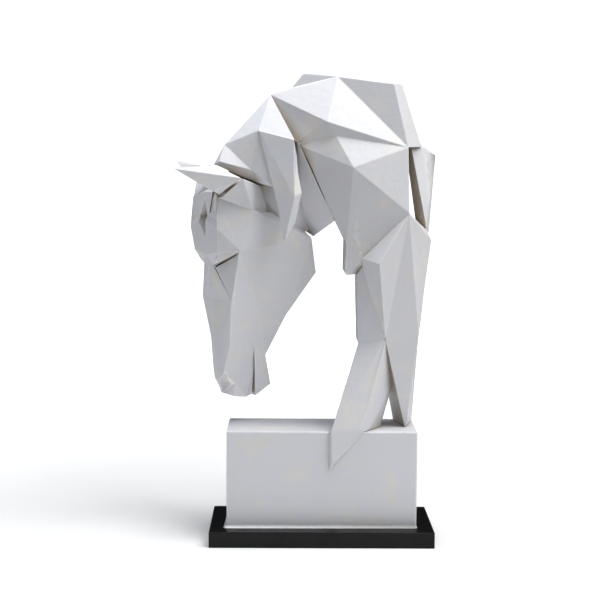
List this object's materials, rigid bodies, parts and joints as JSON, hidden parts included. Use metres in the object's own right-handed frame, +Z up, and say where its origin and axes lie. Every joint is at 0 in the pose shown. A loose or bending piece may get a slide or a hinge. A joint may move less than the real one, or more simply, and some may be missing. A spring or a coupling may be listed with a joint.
{
  "type": "horse head sculpture",
  "caption": "Low-poly white horse head and forequarters, neck arched and head bowed, standing with a hoof over the edge of a white block on a black slab.",
  "frame": {"origin": "middle of the base slab's underside", "axes": "+Z up; +X along the slab towards the horse's rear, so the horse faces -X; -Y towards the near side of the horse, the side the hoof hangs over"},
  "size_m": [0.266, 0.1492, 0.4821],
  "materials": {
    "black_lacquer": "satin black lacquer",
    "white_resin_block": "matt white painted resin",
    "white_resin": "matt white painted resin with warm shade in the folds"
  },
  "bodies": {
    "root": {"base_slab": "black_lacquer", "plinth_block": "white_resin_block", "horse_figure": "white_resin"}
  },
  "joints": []
}
